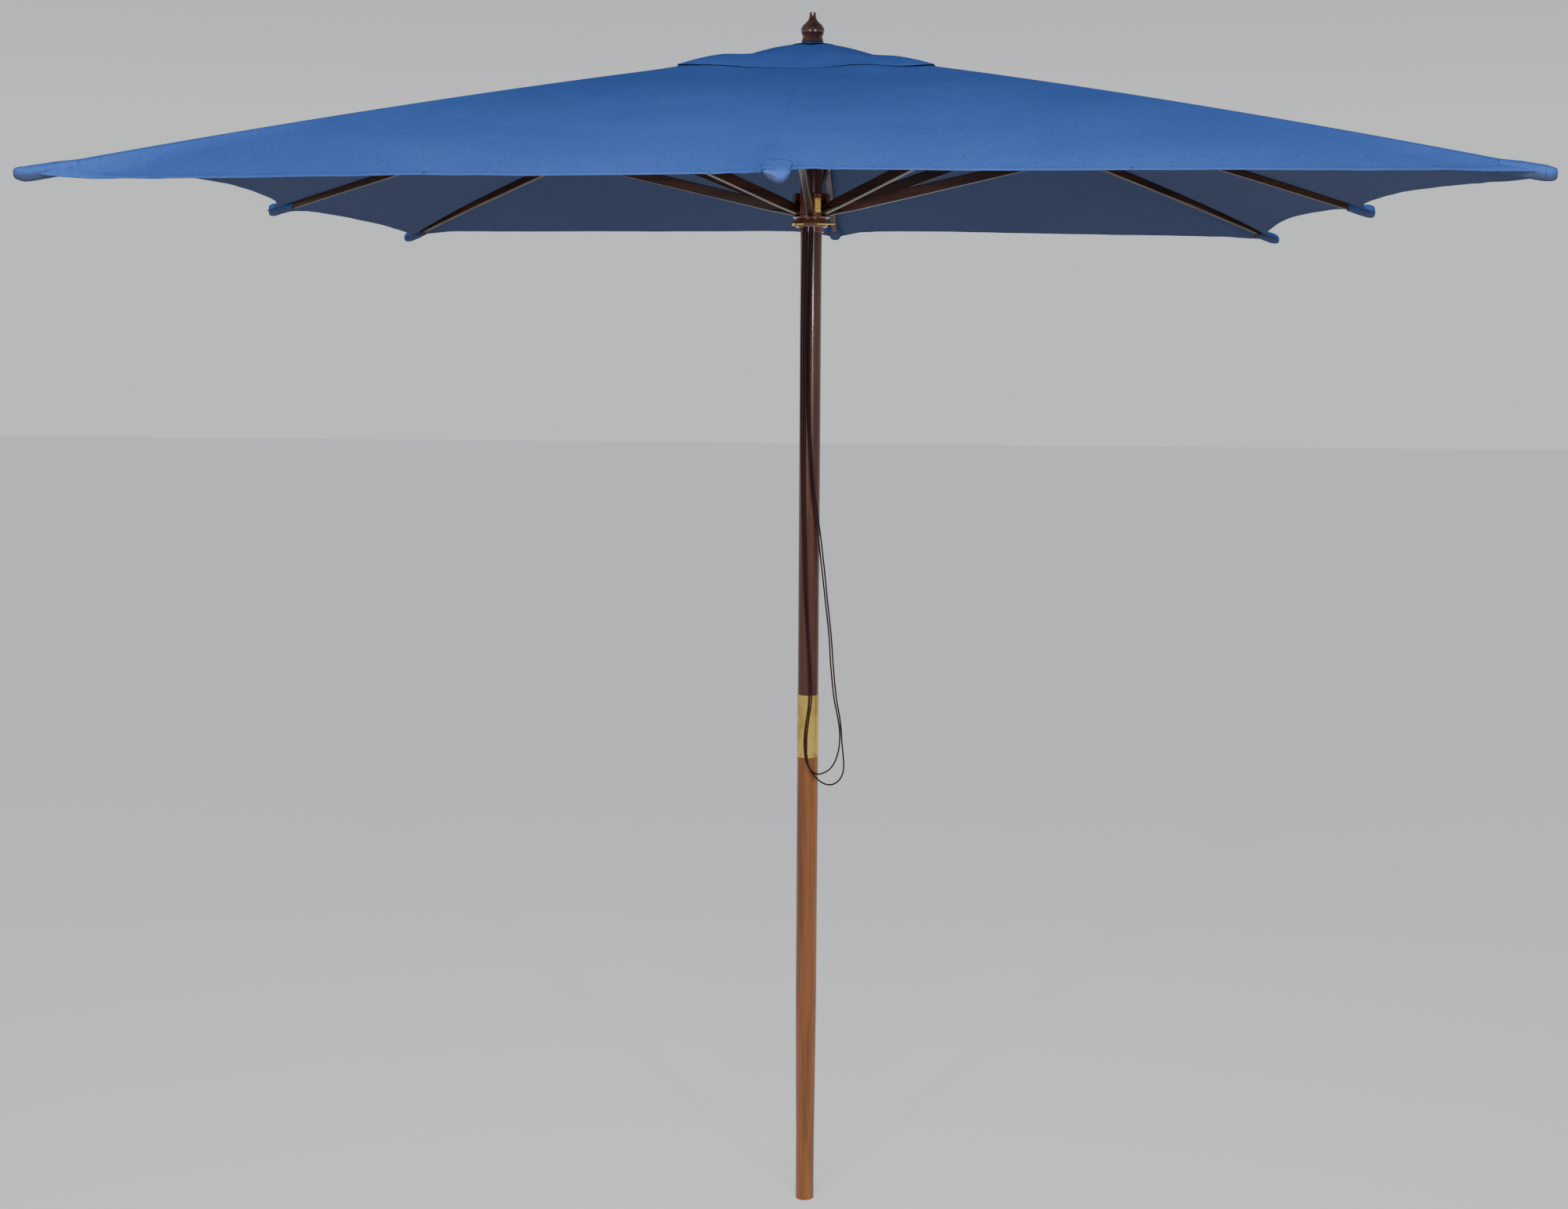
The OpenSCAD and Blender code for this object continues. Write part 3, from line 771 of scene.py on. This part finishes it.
# Length and half width in millimetres, then the pocket's top above the rib line and its bottom below
# it: each is an amount at the mouth and how much is added on the way to the tip.
POCKETS = {
    "corner": (84, 15, (2, 5), (22, -2)),
    "front": (60, 16, (1.5, 0), (14, 12)),
    "middle": (60, 16, (1.5, 0), (15.4, 0)),
}
FRONT_RIB = 6
# How far each tip stands past the cloth's corner or side, in millimetres.
TIP_SLACK = {0: -2, 1: 4, 2: -2, 3: 4, 4: -3, 5: 20, 6: 4, 7: 9}
TURNED_UP = 18 * MM
POCKET_ROWS, POCKET_SIDES = 26, 32


def pocket_kind(i):
    return "corner" if i % 2 else "front" if i == FRONT_RIB else "middle"


def pocket(i):
    """The sewn sleeve over the rib's end: a round-ended bag that grows out of the sheet's tongue."""
    kind = pocket_kind(i)
    length, half_w, above, below = POCKETS[kind]
    reach = HALF * rib_stretch(i)
    tip = reach + TIP_SLACK[i] * MM
    along, across = rib_frame(i)
    rings = []
    for r in range(POCKET_ROWS + 1):
        t = r / POCKET_ROWS
        distance = tip - (length + TIP_SLACK[i]) * MM * (1 - t)
        rounding = max(0.0, (t - 0.66) / 0.34)
        closing = 0.03 + 0.97 * math.sqrt(max(0.0, 1 - rounding**2.3))
        line = roof(min(distance, reach) / rib_stretch(i))
        top = line + (above[0] + above[1] * t) * MM
        low = line - (below[0] + below[1] * t) * MM
        if kind == "middle":
            top = max(top, EDGE_Z + TURNED_UP)
        middle, half_tall = (top + low) / 2, (top - low) / 2 * (0.3 + 0.7 * closing)
        ring = []
        for k in range(POCKET_SIDES):
            a = 2 * math.pi * k / POCKET_SIDES
            c, q = math.cos(a), math.sin(a)
            wide = half_w * MM * closing * math.copysign(abs(c) ** 0.75, c)
            skew = 0.0
            if kind == "front":
                wide *= 1.35 + 0.55 * q
                skew = (6 + 5.5 * (1 - q)) * MM
            tall = half_tall * math.copysign(abs(q) ** 0.8, q)
            pucker = 0.6 * MM * math.sin(7 * a + 9 * t) * math.exp(-(((t - 0.3) / 0.25) ** 2))
            x, y = along * distance + across * (wide + pucker * c + skew)
            ring.append((x, y, middle + tall + pucker * q))
        rings.append(ring)
    parts = Parts()
    parts.grid(rings, closed=True)
    parts.cap_ends(POCKET_SIDES, len(rings))
    return rides_on_rib(parts.make(f"rib_pocket_{i}"), i, cloth, folds=False)


# ---------------------------------------------------------------- the canopy


def gore_sheet(name, i, start, end_of, height):
    """One piece of cloth on gore i, in place of the gore's frame node."""
    parts = Parts()
    parts.grid(sheet_grid(i, start, end_of, height))
    made = parts.make(name)
    thicken(made, SHEET_T)
    rides_on_rib(made, i, cloth)
    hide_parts(f"canopy_gore_{i}")
    return made


def canopy_gore(i):
    """One gore's main sheet and its piece of the vent cap, with all that is sewn to them."""
    sheet = gore_sheet(f"canopy_sheet_{i}", i, VENT_HALF, lambda share: edge_s(i, share), sheet_z)
    vent = gore_sheet(f"vent_cap_{i}", i, CAP_START, lambda share: cap_edge_s(i, share), cap_z)
    sewn = [*gore_trim(i), pocket(i).name]


for i in RIBS:
    canopy_gore(i)

CROWN_HOLE = 5 * MM
CROWN_RINGS = 9


def crown_z(r):
    return cap(r / ROOT2) + 2.3 * MM


def circle(r, height, angles):
    return [(r * math.cos(a), r * math.sin(a), height(a)) for a in angles]


def crown():
    """The round cloth patch clamped under the finial, with its stitched rim."""
    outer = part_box("canopy_crown")[1].x
    around = np.linspace(0, 2 * math.pi, 96, endpoint=False)
    rings = []
    for k in range(CROWN_RINGS + 1):
        t = k / CROWN_RINGS
        r = CROWN_HOLE + (outer - CROWN_HOLE) * t
        rings.append(circle(r, lambda a: crown_z(r) + 0.5 * MM * math.sin(8 * a) * t**2, around))
    parts = Parts()
    parts.grid(rings, closed=True)
    made = parts.make("canopy_crown_patch")
    thicken(made, 1.4 * MM)
    paint(made, cloth)
    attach(made, "mast")
    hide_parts("canopy_crown")
    stitches = Parts()
    for r in (outer - 4 * MM, outer - 8 * MM):
        rim = circle(r, lambda a: crown_z(r) + 1.0 * MM, np.linspace(0, 2 * math.pi, 120))
        stitch_row(stitches, rim, 0.0)
    sewn = stitches.make("crown_stitching", smooth=False)
    paint(sewn, thread)
    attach(sewn, "mast")


crown()

# ---------------------------------------------------------------- stage


def make_world():
    """A pale studio wall all round, darker overhead."""
    world = bpy.data.worlds.new("studio")
    bpy.context.scene.world = world
    world.use_nodes = True
    tree = world.node_tree
    direction = tree.nodes.new("ShaderNodeTexCoord")
    split = linked(tree, "ShaderNodeSeparateXYZ", Vector=(direction, "Generated"))
    wall, above, overhead = (0.95, 0.96, 0.98), (0.42, 0.45, 0.50), (0.16, 0.18, 0.22)
    shade = ramp(tree, (split, "Z"), [(0.0, wall), (0.10, wall), (0.30, above), (1.0, overhead)])
    background = tree.nodes["Background"]
    tree.links.new(shade.outputs["Color"], background.inputs["Color"])
    background.inputs["Strength"].default_value = 0.75


def make_floor():
    bpy.ops.mesh.primitive_plane_add(size=60)
    floor = bpy.context.object
    floor.name = "floor"
    material, _, shader = new_material("floor_pale")
    shader.inputs["Base Color"].default_value = (0.80, 0.80, 0.80, 1)
    shader.inputs["Roughness"].default_value = 0.9
    shader.inputs["Specular IOR Level"].default_value = 0.1
    shader.inputs["Emission Color"].default_value = (1.0, 1.0, 1.0, 1)
    shader.inputs["Emission Strength"].default_value = 0.42
    paint(floor, material)


def area_light(name, place, aim, size, power, colour):
    data = bpy.data.lights.new(name, "AREA")
    data.shape = "RECTANGLE"
    data.size, data.size_y = size
    data.energy = power
    data.color = colour
    made = bpy.data.objects.new(name, data)
    bpy.context.scene.collection.objects.link(made)
    made.location = place
    made.rotation_euler = (Vector(aim) - Vector(place)).to_track_quat("-Z", "Y").to_euler()


make_world()
make_floor()
area_light("key", (0.1, -2.7, 3.15), (0, -0.8, 2.3), (1.6, 0.5), 50, (1.0, 0.98, 0.95))
area_light("left", (-1.9, -4.3, 2.12), (0, 0, 2.1), (0.25, 0.18), 36, (1.0, 0.97, 0.94))
area_light("right", (2.3, -4.1, 2.12), (0, 0, 2.1), (0.25, 0.18), 36, (1.0, 0.97, 0.94))
